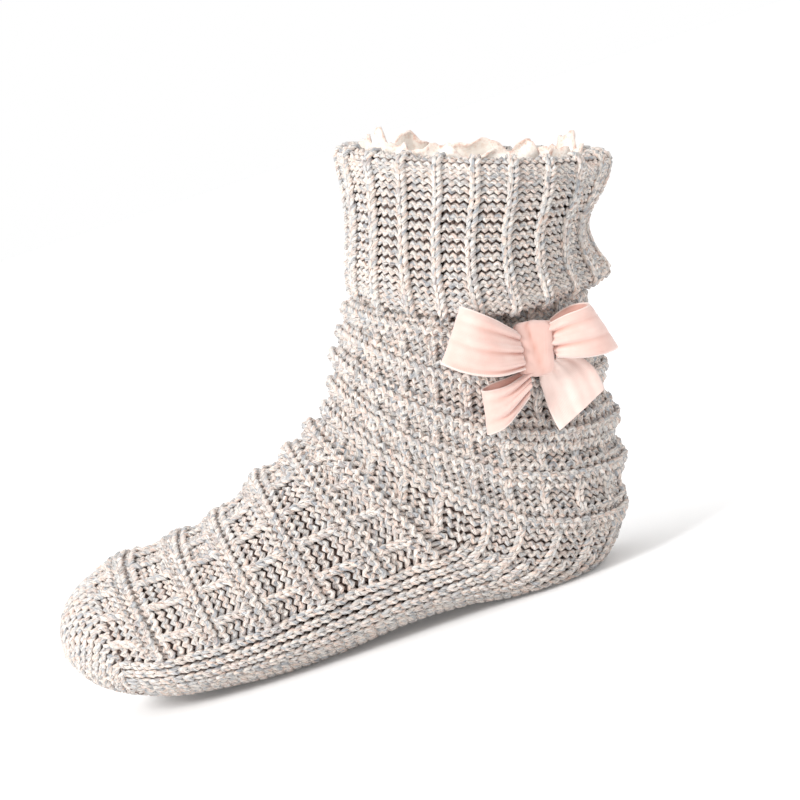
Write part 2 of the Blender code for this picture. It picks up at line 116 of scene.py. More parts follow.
# Leg sections, ankle to collar: rise and depth at the back, side and front, half width, ridge count, roll
LEG_SECTIONS = [
    (-0.028, -0.618, -0.040, -0.048, 0.196, 0.545, 0.432, 7.0, 0.60),
    (0.134, -0.572, 0.105, -0.031, 0.290, 0.528, 0.444, 8.0, 1.00),
    (0.296, -0.520, 0.270, -0.012, 0.380, 0.510, 0.456, 9.0, 0.75),
    (0.446, -0.480, 0.424, 0.006, 0.466, 0.492, 0.456, 10.0, 0.70),
    (0.592, -0.456, 0.570, 0.008, 0.556, 0.464, 0.450, 11.0, 0.00),
    (0.790, -0.430, 0.790, 0.010, 0.790, 0.455, 0.452, 11.4, 0.00),
    (1.000, -0.480, 1.000, 0.015, 1.000, 0.520, 0.500, 11.8, 0.00),
]

# Cuff sections, hem to top, in the same order
CUFF_SECTIONS = [
    (0.640, -0.520, 0.520, 0.000, 0.560, 0.500, 0.550, 0.0, 1.00),
    (0.715, -0.462, 0.615, 0.004, 0.640, 0.512, 0.545, 0.0, 0.80),
    (0.820, -0.440, 0.760, 0.008, 0.780, 0.518, 0.540, 0.0, 0.40),
    (0.950, -0.508, 0.910, 0.012, 0.930, 0.545, 0.548, 0.0, 0.30),
    (1.022, -0.530, 1.000, 0.015, 1.014, 0.572, 0.552, 0.0, 0.30),
]

# Places and ridges: the toe's rounded end, the last upright foot section, the ankle ridge and the leg
TOE_END_ROWS = (1.0, 5.0)
INSTEP_ROW = 10.0
ANKLE_ROW = 15.0
LEG_ROW = 16.0
COLLAR_ROW = 22.0
INSTEP_RIDGE = 5.0
ANKLE_RIDGE = 6.0

# Points on the fine lines from which even ones are taken, and places tried in a search
LINE_POINTS = 400
SEARCH_POINTS = 201

# Yarn and stitch
YARN_RADIUS = 0.00110
YARN_SIDES = 5
SAMPLES = 10
RIB_REPEAT = 4
MAP_MARGIN = 0.05
COURSE = 0.0038
COURSES_PER_RIDGE = 6
LOOP_HEIGHT = 0.76
LOOP_LEAN = 0.22
LOOP_PINCH = 0.05
LOOP_WOBBLE = 0.03
ROPE_PINCH = 0.09
PURL_SWELL = 1.10
RIDGE_SWELL = 1.10
LOOP_DEPTH = 0.0012
PURL_SHARE = 1.25
KNIT_LIFT = 0.0008
PURL_DROP = -0.0009
RIDGE_LIFT = 0.0006
SKIN_DEPTH = 0.0018
# Depth of the dark sheet that paints the shade between the stitches
SHADE_SHEET_DEPTH = 0.0040
FOOT_WALES = 40
SOLE_WALES = 24
HEEL_WALES = 48
LEG_FRONT_TURN = 0.275
SIGN_BLEND = 0.22
JITTER = 0.00016
FLOOR_CLEARANCE = 0.0006
# How strongly the yarn's lower flanks add to its painted shade
FLANK_SHADE = 1.7
YARN_OFFSET = 5.0
SEED = 41
RANDOM = np.random.default_rng(SEED)


def side_of(rise, depth):
    """A point of the leg's leaning axes as side-view x and z."""
    along = rise * LEG_LENGTH
    ahead = depth * LEG_DEPTH
    x = ANKLE_X * FOOT_LENGTH + along * math.sin(LEG_LEAN) - ahead * math.cos(LEG_LEAN)
    z = ANKLE_Z * INSTEP_HEIGHT + along * math.cos(LEG_LEAN) + ahead * math.sin(LEG_LEAN)
    return x, z


def foot_row(row):
    """A foot section in metres."""
    scale = (FOOT_LENGTH, INSTEP_HEIGHT) * 3 + (BALL_WIDTH, 1.0, 1.0)
    return [value * unit for value, unit in zip(row, scale)]


def leg_row(row):
    """A leg or cuff section in metres, in the same order as a foot section."""
    return [*side_of(*row[0:2]), *side_of(*row[2:4]), *side_of(*row[4:6]), row[6] * LEG_WIDTH, *row[7:]]


BODY_ROWS = np.array([foot_row(row) for row in FOOT_SECTIONS] + [leg_row(row) for row in LEG_SECTIONS])
CUFF_ROWS = np.array([leg_row(row) for row in CUFF_SECTIONS])


def smooth_step(value, start, end):
    """0 before start, 1 after end, and a smooth climb between."""
    share = np.clip((value - start) / (end - start), 0.0, 1.0)
    return share * share * (3.0 - 2.0 * share)


def smooth_curve(share, here, after, slope_here, slope_after):
    """Points of a cubic curve between two ends with given slopes."""
    cube = share ** 3
    square = share ** 2
    value = (2 * cube - 3 * square + 1) * here + (cube - 2 * square + share) * slope_here
    return value + (3 * square - 2 * cube) * after + (cube - square) * slope_after


def unit(vectors):
    """Vectors brought to length 1."""
    return vectors / np.maximum(np.linalg.norm(vectors, axis=-1, keepdims=True), 1e-12)


def round_turns(count):
    """Even turns once round."""
    return np.arange(count) / count


def waves(terms, turn):
    """A sum of waves round the leg, from terms of count, share and phase."""
    return sum(share * np.sin(TAU * count * turn + phase) for count, share, phase in terms)


def section_at(rows, place):
    """Sections at places counted in rows, on a smooth curve through the rows."""
    place = np.clip(np.asarray(place, float), 0.0, len(rows) - 1.0)
    index = np.minimum(place.astype(int), len(rows) - 2)
    here = rows[index]
    after = rows[index + 1]
    slope_here = 0.5 * (after - rows[np.maximum(index - 1, 0)])
    slope_after = 0.5 * (rows[np.minimum(index + 2, len(rows) - 1)] - here)
    return smooth_curve((place - index)[..., None], here, after, slope_here, slope_after)


def ring_point(section, turn, outward):
    """Points of a section: turn is 0 at the sole or back, 0.25 outside, 0.5 at the front."""
    back, side, front = section[..., 0:2], section[..., 2:4], section[..., 4:6]
    cosine = np.cos(TAU * turn)
    sine = np.sin(TAU * turn)
    power = np.where(cosine > 0.0, SOLE_ROUNDNESS, TOP_ROUNDNESS)
    lift = 0.5 - 0.5 * np.copysign(np.abs(cosine) ** power, cosine)
    across = np.copysign(np.abs(sine) ** power, sine)
    reach = np.hypot(*np.moveaxis(front - back, -1, 0))
    share = (0.5 + (lift - 0.5) * (1.0 + 2.0 * outward / reach))[..., None]
    control = 2.0 * side - 0.5 * (back + front)
    arc = (1.0 - share) ** 2 * back + 2.0 * share * (1.0 - share) * control + share ** 2 * front
    x, z = arc[..., 0], arc[..., 1]
    toe_turn = TOE_SHIFT * (1.0 - smooth_step(x, 0.0, TOE_SHIFT_END * FOOT_LENGTH))
    y = toe_turn - (section[..., 6] + outward) * across
    return np.stack([x, y, z], -1)


def sock_relief(section, turn):
    """How far the knit stands proud: purl ridges on the upper and rolls on the leg."""
    ridge = section[..., 7]
    roll = np.maximum(section[..., 8], 0.0)
    crest = (0.5 + 0.5 * np.cos(TAU * ridge)) ** RIDGE_SHARPNESS
    around = np.mod(turn, 1.0)
    upper = smooth_step(np.minimum(around, 1.0 - around), SOLE_EDGE - SOLE_BLEND, SOLE_EDGE)
    leg = smooth_step(ridge, HEEL_BLEND_START, HEEL_BLEND_END)
    relief = crest * np.maximum(upper, leg) * (RIDGE_HEIGHT + roll * ROLL_HEIGHT)
    return np.where((ridge < RIDGES_START) | (ridge > RIDGES_END), 0.0, relief)


def skin(place, turn, depth=SKIN_DEPTH, relief=1.0):
    """Points a given depth inside the sock's outer surface, with a share of the ridges and rolls."""
    place, turn = np.broadcast_arrays(np.asarray(place, float), np.asarray(turn, float))
    section = section_at(BODY_ROWS, place)
    point = ring_point(section, turn, relief * sock_relief(section, turn) - depth)
    point[..., 0] += depth * (1.0 - smooth_step(place, *TOE_END_ROWS))
    droop = ROLL_DROOP * np.exp(-((section[..., 7] - DROOP_RIDGE) / DROOP_SPREAD) ** 2)
    droop = droop * np.maximum(np.cos(TAU * turn) + DROOP_REACH, 0.0)
    point -= droop[..., None] * LEG_UP
    point[..., 2] = np.maximum(point[..., 2], depth)
    return point


# Waves round the cuff: count, share and phase
CUFF_WAVE = 0.0022
CUFF_WAVES = [(5, 1.0, 0.8), (9, 0.5, 0.0)]


def cuff_skin(place, turn, depth):
    """Points of the cuff's outer surface, without its ribs, a given depth inside."""
    place, turn = np.broadcast_arrays(np.asarray(place, float), np.asarray(turn, float))
    section = section_at(CUFF_ROWS, place)
    return ring_point(section, turn, CUFF_WAVE * section[..., 8] * waves(CUFF_WAVES, turn) - depth)


PLACES = np.linspace(0.0, len(BODY_ROWS) - 1.0, 2201)
RIDGES = np.maximum.accumulate(section_at(BODY_ROWS, PLACES)[:, 7])


def place_of(ridge):
    """The place in the body's rows where the ridge count has a given value."""
    return np.interp(ridge, RIDGES, PLACES)


def lengths(points):
    """The distance along a line of points to each of them."""
    return np.concatenate([[0.0], np.cumsum(np.linalg.norm(np.diff(points, axis=0), axis=1))])


def at_lengths(points, length, wanted):
    """Points at given distances along a line, carried on straight past its ends."""
    found = np.stack([np.interp(wanted, length, column) for column in points.T], -1)
    over = np.maximum(wanted - length[-1], 0.0)[:, None]
    under = np.maximum(length[0] - wanted, 0.0)[:, None]
    return found + over * unit(points[-1] - points[-4]) + under * unit(points[0] - points[3])


def spaced(points, count):
    """Points at even distances along a line through many points."""
    length = lengths(points)
    return at_lengths(points, length, np.linspace(0.0, length[-1], count))


class Patch:
    """A piece of surface on which courses of stitches lie, sampled at every half stitch."""

    def __init__(self, nodes, first_course, closed):
        """nodes runs by half courses and half wales from first_course and wale 0."""
        self.nodes = nodes
        self.first = first_course
        self.closed = closed
        down = np.gradient(nodes, axis=0)
        if closed:
            across = 0.5 * (np.roll(nodes, -1, 1) - np.roll(nodes, 1, 1))
        else:
            across = np.gradient(nodes, axis=1)
        self.normals = unit(np.cross(down, across))
        if np.mean(np.sum(self.normals * (nodes - nodes.mean((0, 1))), -1)) < 0.0:
            self.normals = -self.normals

    def at(self, course, wale):
        """Points and outward normals at courses and wales."""
        rows, columns = self.nodes.shape[:2]
        # Just short of the last node, so that there is always one after
        row = np.clip((course - self.first) * 2.0, 0.0, rows - 1.001)
        column = wale * 2.0
        if not self.closed:
            column = np.clip(column, 0.0, columns - 1.001)
        row_index = row.astype(int)
        column_index = np.floor(column).astype(int)
        down = (row - row_index)[..., None]
        across = (column - column_index)[..., None]
        column_after = (column_index + 1) % columns
        column_index = column_index % columns

        def between(grid, index):
            return grid[index, column_index] * (1 - across) + grid[index, column_after] * across

        points, normals = [between(grid, row_index) * (1 - down) + between(grid, row_index + 1) * down
                           for grid in (self.nodes, self.normals)]
        return points, unit(normals)


def fill(items, name, values, kind=np.float32):
    """Set one property of all the items of a mesh."""
    items.foreach_set(name, np.asarray(values, kind).ravel())


class Yarn:
    """Collects tubes of yarn into one mesh with a map along and round the yarn."""

    def __init__(self):
        self.tubes = []
        self.count = 0

    def add(self, points, normals, closed, radius, out=0.0):
        """Add one tube along the points, each standing out from the knit's middle by out."""
        if closed:
            tangent = np.roll(points, -1, 0) - np.roll(points, 1, 0)
        else:
            tangent = np.gradient(points, axis=0)
        tangent = unit(tangent)
        side = unit(np.cross(tangent, normals))
        up = np.cross(side, tangent)
        angle = TAU * np.arange(YARN_SIDES) / YARN_SIDES
        total = len(points)
        radius = np.broadcast_to(radius, (total,))[:, None, None]
        ring = np.cos(angle)[:, None] * side[:, None, :] + np.sin(angle)[:, None] * up[:, None, :]
        verts = points[:, None, :] + radius * ring
        rings = np.arange(total if closed else total - 1)
        here = rings[:, None] * YARN_SIDES
        after = ((rings + 1) % total)[:, None] * YARN_SIDES
        corner = np.arange(YARN_SIDES)[None, :]
        turned = (corner + 1) % YARN_SIDES
        faces = np.stack([here + corner, here + turned, after + turned, after + corner], -1)
        length = lengths(np.concatenate([points, points[:1]]))
        along = np.stack([length[rings], length[rings], length[rings + 1], length[rings + 1]], -1)
        along = np.repeat(along[:, None, :], YARN_SIDES, 1)
        around = np.stack([corner, corner + 1, corner + 1, corner], -1) / YARN_SIDES
        around = np.repeat(around, len(rings), 0)
        along = np.stack([along, around], -1).reshape(-1, 2)
        strip = np.full(len(along), len(self.tubes))
        start = np.full(len(along), RANDOM.uniform(0.0, YARN_OFFSET))
        # The flank term makes the yarn's lower sides count as lying deeper, for its painted shade
        out = np.broadcast_to(out, (total,))[:, None] + FLANK_SHADE * radius[:, :, 0] * np.sin(angle)
        faces = faces.reshape(-1, 4) + self.count
        self.tubes.append((verts.reshape(-1, 3), faces, along, strip, start, out.ravel()))
        self.count += total * YARN_SIDES

    def object(self, name):
        """The collected yarn as one object, with the map for its plies and one for baking."""
        verts, faces, along, strips, starts, proud = [np.concatenate(part) for part in zip(*self.tubes)]
        low = FLOOR_CLEARANCE
        sunk = verts[:, 2] < low
        verts[sunk, 2] = low * np.exp((verts[sunk, 2] - low) / (3.0 * low))
        mesh = bpy.data.meshes.new(name)
        mesh.vertices.add(len(verts))
        fill(mesh.vertices, "co", verts)
        mesh.loops.add(faces.size)
        fill(mesh.loops, "vertex_index", faces, np.int32)
        mesh.polygons.add(len(faces))
        fill(mesh.polygons, "loop_start", np.arange(0, faces.size, 4), np.int32)
        fill(mesh.polygons, "use_smooth", np.ones(len(faces)), bool)
        baked = mesh.uv_layers.new(name="OFBake")
        plies = mesh.uv_layers.new(name="Yarn")
        rows = 2 * (int(strips.max()) + 1)
        share = 2.0 * along[:, 0] / (along[:, 0].max() + 1e-6)
        half = np.minimum(np.repeat(share.reshape(-1, 4).mean(1), 4).astype(int), 1)
        across = np.clip(share - half, 0.0, 1.0)
        upward = (2 * strips + half + MAP_MARGIN + (1.0 - 2.0 * MAP_MARGIN) * along[:, 1]) / rows
        fill(baked.uv, "vector", np.stack([across, upward], -1))
        along[:, 0] += starts
        fill(plies.uv, "vector", along)
        # Height of the yarn above the knit's middle, which the yarn material turns into painted shade
        fill(mesh.attributes.new("proud", "FLOAT", "POINT").data, "value", proud * 1000.0)
        mesh.update(calc_edges=True)
        return bpy.data.objects.new(name, mesh)


def add_course(yarn, patch, course, chart, first=0, closed=True, depth=LOOP_DEPTH, pinch=LOOP_PINCH):
    """Work one course of stitches from a chart of signs, 1 for knit and -1 for purl, lifts and radii."""
    signs, lifts, radius = chart
    total = len(signs)
    steps = total * SAMPLES + (0 if closed else 1)
    along = np.arange(steps) / SAMPLES
    index = np.minimum(along.astype(int), total - 1)
    inside = along - index
    before = (index - 1) % total if closed else np.maximum(index - 1, 0)
    after = (index + 1) % total if closed else np.minimum(index + 1, total - 1)
    from_before = 0.5 * (1.0 - smooth_step(inside, 0.0, SIGN_BLEND))
    to_after = 0.5 * smooth_step(inside, 1.0 - SIGN_BLEND, 1.0)
    own = 1.0 - from_before - to_after
    sign, lift = [values[index] * own + values[before] * from_before + values[after] * to_after
                  for values in (signs, lifts)]
    phase = TAU * inside
    wobble = RANDOM.normal(0.0, 1.0, (3, total))
    wobble = np.take(wobble, index, 1) * np.sin(np.pi * inside) ** 2
    pinch = np.broadcast_to(pinch, (total,))[index]
    lean = LOOP_LEAN * np.sin(2.0 * phase) + pinch * sign * np.sin(phase)
    row = course - LOOP_HEIGHT * np.cos(phase) + LOOP_WOBBLE * wobble[1]
    points, normals = patch.at(row, first + along + lean + LOOP_WOBBLE * wobble[0])
    swing = np.where(sign > 0.0, depth, depth * PURL_SHARE)
    out = -sign * swing * np.cos(2.0 * phase) + lift + JITTER * wobble[2]
    yarn.add(points + normals * out[:, None], normals, closed, radius[index], out)


def plain_chart(total):
    """The chart of a course of smooth knit."""
    return np.ones(total), np.zeros(total), np.full(total, YARN_RADIUS)


def is_rib(wale):
    """Whether a wale is a rib, one in each repeat."""
    return wale % RIB_REPEAT == RIB_REPEAT // 2


def rib_chart(rib):
    """The chart of a course of knit ribs among purl stitches."""
    signs = np.where(rib, 1.0, -1.0)
    return signs, np.where(rib, KNIT_LIFT, PURL_DROP), np.where(rib, YARN_RADIUS, PURL_SWELL * YARN_RADIUS)


def upper_chart(course, total):
    """The chart of a course over the upper: two courses of purl ridge, then ribs in a purl band."""
    if course % COURSES_PER_RIDGE in (0, 1):
        return np.full(total, -1.0), np.full(total, RIDGE_LIFT), np.full(total, RIDGE_SWELL * YARN_RADIUS)
    return rib_chart(is_rib(np.arange(total)))


def knitted(name, patch, charts, **settings):
    """A piece of knit worked over a patch from the chart of each of its courses."""
    yarn = Yarn()
    for course, chart in charts.items():
        add_course(yarn, patch, course, chart, **settings)
    return yarn.object(name)


def add_plain(yarn, patch, course, start, end):
    """Work one course of smooth knit, whose wales stand like ropes, over some of the wales."""
    add_course(yarn, patch, course, plain_chart(end - start), first=start, closed=False, pinch=ROPE_PINCH)


def ridge_of(course):
    """The ridge count at the middle of a course, with two courses to each purl ridge."""
    return (course - 0.5) / COURSES_PER_RIDGE


def half_courses(first, last):
    """Half courses from a little before the first course to a little after the last."""
    return np.arange(first - 1.5, last + 2.0, 0.5)


def even_ring(place, spans):
    """Nodes round a ring: each span is start turn, end turn and number of stitches."""
    parts = []
    for start, end, count in spans:
        turns = np.linspace(start, end, 8 * count + 1)
        points = skin(place(turns) if callable(place) else place, turns)
        parts.append(spaced(points, 2 * count + 1)[:-1])
    return np.concatenate(parts)


def wale_nodes(lines, first, last):
    """Nodes at half courses down lines over the skin, and the number of courses on each wale."""
    wanted = np.arange(first, last + 1.25, 0.5) * COURSE
    nodes = np.stack([at_lengths(points, lengths(points), wanted) for points in lines], 1)
    courses = np.array([lengths(points)[-1] / COURSE for points in lines])
    return nodes, courses[1::2]


def worked(courses, first, last, spare):
    """The courses for which at least two wales have room, each with its first and last wale."""
    for course in range(first, last):
        found = np.flatnonzero(courses > course + spare)
        if len(found) > 1:
            yield course, int(found[0]), int(found[-1]) + 1


# Toe: the line where it is closed, outer side, from the sole's edge to the tip: x and z
TOE_SEAM = [(0.0335, 0.0116), (0.0250, 0.0192), (0.0130, 0.0290), (0.0065, 0.0335)]
TOE_TIP = (0.0, TOE_SHIFT, 0.0365)
TOE_CENTRE = np.array([0.05, 0.0, 0.035])
TOE_WALES = 36
TONGUE_WALES = 18
TOE_COURSES = 12
TOE_MERIDIAN = 0.33
TOE_START = -3.6
TOE_TURN = 0.105
TOE_SMOOTHING = 4
SEAM_LIFT = 0.0006


def foot_place(course):
    """The place of a foot course; ahead of the first ridge the courses keep one distance apart."""
    if course >= 0.0:
        return float(place_of(ridge_of(course)))
    places = np.linspace(float(place_of(ridge_of(0))), 0.0, LINE_POINTS)
    return float(np.interp(-course * COURSE, lengths(skin(places, TOE_MERIDIAN)), places))


def make_foot(name, first, last):
    """Courses of the foot, worked round, from the toe band to the last ridge before the ankle."""
    courses = half_courses(first, last)
    spans = [(-SOLE_EDGE, SOLE_EDGE, SOLE_WALES), (SOLE_EDGE, 1.0 - SOLE_EDGE, FOOT_WALES)]
    nodes = np.stack([even_ring(foot_place(course), spans) for course in courses])
    pinch = np.repeat([ROPE_PINCH, LOOP_PINCH], [SOLE_WALES, FOOT_WALES])
    charts = {}
    for course in range(first, last + 1):
        halves = zip(plain_chart(SOLE_WALES), upper_chart(course, FOOT_WALES))
        charts[course] = [np.concatenate(half) for half in halves]
    return knitted(name, Patch(nodes, courses[0], True), charts, pinch=pinch)


def grid_faces(rows, columns, closed):
    """Corners of the faces of a grid of points; a closed grid joins its last column to its first."""
    joined = columns if closed else columns - 1
    row, column = np.meshgrid(np.arange(rows - 1), np.arange(joined), indexing="ij")
    after = (column + 1) % columns
    corners = [row * columns + column, row * columns + after, (row + 1) * columns + after,
               (row + 1) * columns + column]
    return np.stack(corners, -1).reshape(-1, 4).tolist()


def skin_tree():
    """The skin from the toe to the first ridges as a tree for nearest points and rays."""
    places = np.concatenate([np.arange(0.0, 6.0, 0.1), [6.0]])
    grid = skin(places[:, None], round_turns(120))
    rows, columns = grid.shape[:2]
    faces = grid_faces(rows, columns, True) + [list(range(columns))]
    return BVHTree.FromPolygons(grid.reshape(-1, 3).tolist(), faces)


def projected(points, tree):
    """Points moved to the nearest place on the skin."""
    return np.array([tree.find_nearest(Vector(point))[0] for point in points])


def seam_line(tree):
    """The closing seam round the toe, from the outer end over the tip to the inner end."""
    outer = []
    for x, z in TOE_SEAM:
        hit = tree.ray_cast(Vector((x, -BALL_WIDTH, z)), Vector((0.0, 1.0, 0.0)))
        outer.append((x, hit[0].y, z))
    outer = np.array(outer)
    inner = outer[::-1].copy()
    inner[:, 1] = 2.0 * TOE_SHIFT - inner[:, 1]
    knots = np.concatenate([outer, [TOE_TIP], inner])
    return projected(section_at(knots, np.linspace(0.0, len(knots) - 1.0, 240)), tree)


def toe_line(tree, start, behind, end):
    """A smooth line over the skin from a point of the toe band, straight on from behind, to the seam."""
    share = np.linspace(0.0, 1.0, 24)[:, None]
    leave = unit(start - behind) * np.linalg.norm(end - start)
    points = projected(smooth_curve(share, start, end, leave, end - start), tree)
    for _ in range(TOE_SMOOTHING):
        points[1:-1] = 0.25 * points[:-2] + 0.5 * points[1:-1] + 0.25 * points[2:]
    return points


def make_toe():
    """Toe cap in smooth knit down to the closing seam, the tongue below it, and the seam's cord."""
    tree = skin_tree()
    seam = seam_line(tree)
    yarn = Yarn()
    cap = np.linspace(TOE_TURN, 1.0 - TOE_TURN, LINE_POINTS)
    tongue = np.linspace(TOE_TURN, -TOE_TURN, LINE_POINTS // 2)
    for turns, wales in ((cap, TOE_WALES), (tongue, TONGUE_WALES)):
        starts, behind = [spaced(skin(foot_place(course), turns), 2 * wales + 1)
                          for course in (TOE_START, TOE_START + 0.5)]
        ends = spaced(seam, 2 * wales + 1)
        lines = [toe_line(tree, *points) for points in zip(starts, behind, ends)]
        nodes, courses = wale_nodes(lines, -1.0, TOE_COURSES)
        patch = Patch(nodes, -1.0, False)
        for course, first, last in worked(courses, 0, TOE_COURSES, 0.0):
            add_plain(yarn, patch, course + 0.5, first, last)
    normals = unit(seam - TOE_CENTRE)
    yarn.add(seam + SEAM_LIFT * normals, normals, False, YARN_RADIUS)
    return yarn.object("knit_toe")


# Heel: the line where the sole's wales turn up into it, outer side, from the top down: x and z
MITRE = [(0.1747, 0.0320), (0.1790, 0.0233), (0.1843, 0.0190), (0.1887, 0.0127), (0.1957, 0.0046)]
MITRE_MIDDLE = (12.0, 0.0)
MITRE_RIDGE = 5.25
HEEL_SIDE_TURN = 0.30
INSTEP_BLEND = 0.09
FLAP_COURSES = 16
FLAP_SPARE = 0.2
WIDE_RIB_COURSES = 4
SOLE_COURSES = 12
SOLE_SPARE = -0.3


def nearest_on_heel(x, z):
    """Place and turn of the outer-side skin point at a side-view x and z, under the ankle."""
    places = np.linspace(INSTEP_ROW, ANKLE_ROW, SEARCH_POINTS)
    turns = np.linspace(0.0, HEEL_SIDE_TURN, SEARCH_POINTS)
    points = skin(places[:, None], turns, 0.0)
    gap = (points[..., 0] - x) ** 2 + (points[..., 2] - z) ** 2
    best = np.unravel_index(np.argmin(gap), gap.shape)
    return float(places[best[0]]), float(turns[best[1]])


def mitre_line():
    """The turning line as place and turn, from the outer side under the heel to the inner side."""
    outer = [nearest_on_heel(x, z) for x, z in MITRE]
    line = np.array(outer + [MITRE_MIDDLE] + [(place, -turn) for place, turn in reversed(outer)])
    fine = np.linspace(0.0, len(line) - 1.0, LINE_POINTS)
    return np.stack([np.interp(fine, np.arange(len(line)), column) for column in line.T], -1)


def even_params(params, count):
    """Place and turn pairs at even distances over the skin."""
    length = lengths(skin(*params.T))
    wanted = np.linspace(0.0, length[-1], count)
    return np.stack([np.interp(wanted, length, column) for column in params.T], -1)


def heel_patch(row, turn, wales, last):
    """Surface from a line across the back or the sole to the turning line, and each wale's courses."""
    turns = np.linspace(turn, -turn, LINE_POINTS)
    starts = even_params(np.stack([np.full(LINE_POINTS, row), turns], -1), 2 * wales + 1)
    ends = even_params(mitre_line(), 2 * wales + 1)
    share = np.linspace(0.0, 1.0, 60)[:, None]
    lines = [skin(*(start * (1.0 - share) + end * share).T) for start, end in zip(starts, ends)]
    nodes, courses = wale_nodes(lines, 0.0, last)
    return Patch(nodes, 0.0, False), courses


def make_heel():
    """Heel flap below the ankle ridge, and the sole's wales up to the turning line."""
    yarn = Yarn()
    patch, courses = heel_patch(ANKLE_ROW, LEG_FRONT_TURN, HEEL_WALES, FLAP_COURSES)
    for course, first, last in worked(courses, 1, FLAP_COURSES, FLAP_SPARE):
        wale = np.arange(first, last)
        rib = is_rib(wale) if course <= WIDE_RIB_COURSES else wale % 2 == 0
        add_course(yarn, patch, course + 0.5, rib_chart(rib), first=first, closed=False)
    patch, courses = heel_patch(INSTEP_ROW, SOLE_EDGE, SOLE_WALES, SOLE_COURSES)
    for course, first, last in worked(courses, 0, SOLE_COURSES, SOLE_SPARE):
        add_plain(yarn, patch, course + 0.5, first, last)
    return yarn.object("knit_heel")


def make_instep(first, last):
    """Band over the instep between the last foot ridge and the ankle ridge, worked flat."""
    mitre_place, mitre_turn = nearest_on_heel(*MITRE[0])
    courses = half_courses(first, last)
    rows = []
    for ridge in ridge_of(courses):
        ridges = [INSTEP_RIDGE, MITRE_RIDGE, ANKLE_RIDGE]
        end_place = np.interp(ridge, ridges, [INSTEP_ROW, mitre_place, ANKLE_ROW])
        end_turn = np.interp(ridge, ridges, [SOLE_EDGE, mitre_turn, LEG_FRONT_TURN])
        turns = np.linspace(end_turn, 1.0 - end_turn, 8 * FOOT_WALES + 1)
        reach = smooth_step(np.minimum(turns - end_turn, 1.0 - end_turn - turns), 0.0, INSTEP_BLEND)
        places = end_place + (float(place_of(ridge)) - end_place) * reach
        rows.append(spaced(skin(places, turns), 2 * FOOT_WALES + 1))
    charts = {course: upper_chart(course, FOOT_WALES) for course in range(first, last + 1)}
    return knitted("knit_instep", Patch(np.stack(rows), courses[0], False), charts, closed=False)


def leg_nodes(course):
    """Nodes round the leg at a course; just below the ankle ridge they keep their distance from it."""
    spans = [(LEG_FRONT_TURN, 1.0 - LEG_FRONT_TURN, FOOT_WALES),
             (1.0 - LEG_FRONT_TURN, 1.0 + LEG_FRONT_TURN, HEEL_WALES)]
    ridge = ridge_of(course)
    if ridge >= ANKLE_RIDGE:
        return even_ring(float(place_of(ridge)), spans)
    below = (ANKLE_RIDGE - ridge) * COURSES_PER_RIDGE * COURSE
    step = 0.2

    def place(turns):
        down = skin(ANKLE_ROW, turns, 0.0) - skin(ANKLE_ROW - step, turns, 0.0)
        slope = np.linalg.norm(down, axis=-1) / step
        return ANKLE_ROW - below / np.maximum(slope, 1e-4)

    return even_ring(place, spans)


def make_leg(name, first, last):
    """Courses of the leg, worked round from the ankle ridge up under the cuff."""
    courses = half_courses(first, last)
    nodes = np.stack([leg_nodes(course) for course in courses])
    charts = {course: upper_chart(course, FOOT_WALES + HEEL_WALES) for course in range(first, last + 1)}
    return knitted(name, Patch(nodes, courses[0], True), charts)


# Cuff: courses from the hem to the top, then over the fold
CUFF_STITCHES = 88
CUFF_COURSES = 18
CUFF_COURSE = 0.0027
CUFF_RADIUS = 0.00100
CUFF_LOOP_DEPTH = 0.0010
CUFF_KNIT_LIFT = 0.0013
CUFF_PURL_DROP = -0.0004
CUFF_FOLD = 0.0026
CUFF_DEPTH = 0.0016
# Depth of the dark sheet that paints the shade inside the cuff's knit
CUFF_SHADE_SHEET_DEPTH = 0.0030
CUFF_FOLD_COURSES = 4
CUFF_HEM_COURSES = 2
CUFF_RIB_WIDTH = 1.40
CUFF_RIB_SWELL = 1.15
CUFF_PURL_SWELL = 1.06
CUFF_TOP = len(CUFF_ROWS) - 1.0


def folded_rows(edge, away, steps):
    """Rows of nodes that leave an edge, bend inwards and run back along the inner side."""
    inward = edge.mean(0) - edge
    inward = unit(inward - (inward @ LEG_UP)[:, None] * LEG_UP)
    rows = []
    for row in np.arange(0.5, steps + 0.25, 0.5):
        angle = min(row * CUFF_COURSE / CUFF_FOLD, math.pi)
        beyond = max(row * CUFF_COURSE - math.pi * CUFF_FOLD, 0.0)
        moved = edge + inward * CUFF_FOLD * (1.0 - math.cos(angle))
        rows.append(moved + away * (CUFF_FOLD * math.sin(angle) - beyond))
    return np.stack(rows)


def cuff_nodes(rib):
    """Nodes of the cuff: wales run from under the hem, up the outside and over the top fold."""
    share = np.concatenate([[0.0], np.cumsum(np.repeat(np.where(rib, CUFF_RIB_WIDTH, 1.0), 2))])
    share /= share[-1]
    turns = np.linspace(0.0, 1.0, 8 * CUFF_STITCHES + 1)
    rings = []
    for row in np.arange(0.0, CUFF_COURSES + 0.25, 0.5):
        ring = cuff_skin(CUFF_TOP * row / CUFF_COURSES, turns, CUFF_DEPTH)
        length = lengths(ring)
        rings.append(at_lengths(ring, length, share[:-1] * length[-1]))
    top = folded_rows(rings[-1], LEG_UP, CUFF_FOLD_COURSES)
    hem = folded_rows(rings[0], -LEG_UP, CUFF_HEM_COURSES)
    return np.concatenate([hem[::-1], np.stack(rings), top])


def make_cuff(name, first, last):
    """Courses of the turned-down cuff, in one-by-three rib and finer yarn."""
    rib = is_rib(np.arange(CUFF_STITCHES))
    patch = Patch(cuff_nodes(rib), -float(CUFF_HEM_COURSES), True)
    lifts = np.where(rib, CUFF_KNIT_LIFT, CUFF_PURL_DROP)
    chart = np.where(rib, 1.0, -1.0), lifts, CUFF_RADIUS * np.where(rib, CUFF_RIB_SWELL, CUFF_PURL_SWELL)
    charts = {course + 0.5: chart for course in range(first, last)}
    return knitted(name, patch, charts, depth=CUFF_LOOP_DEPTH)


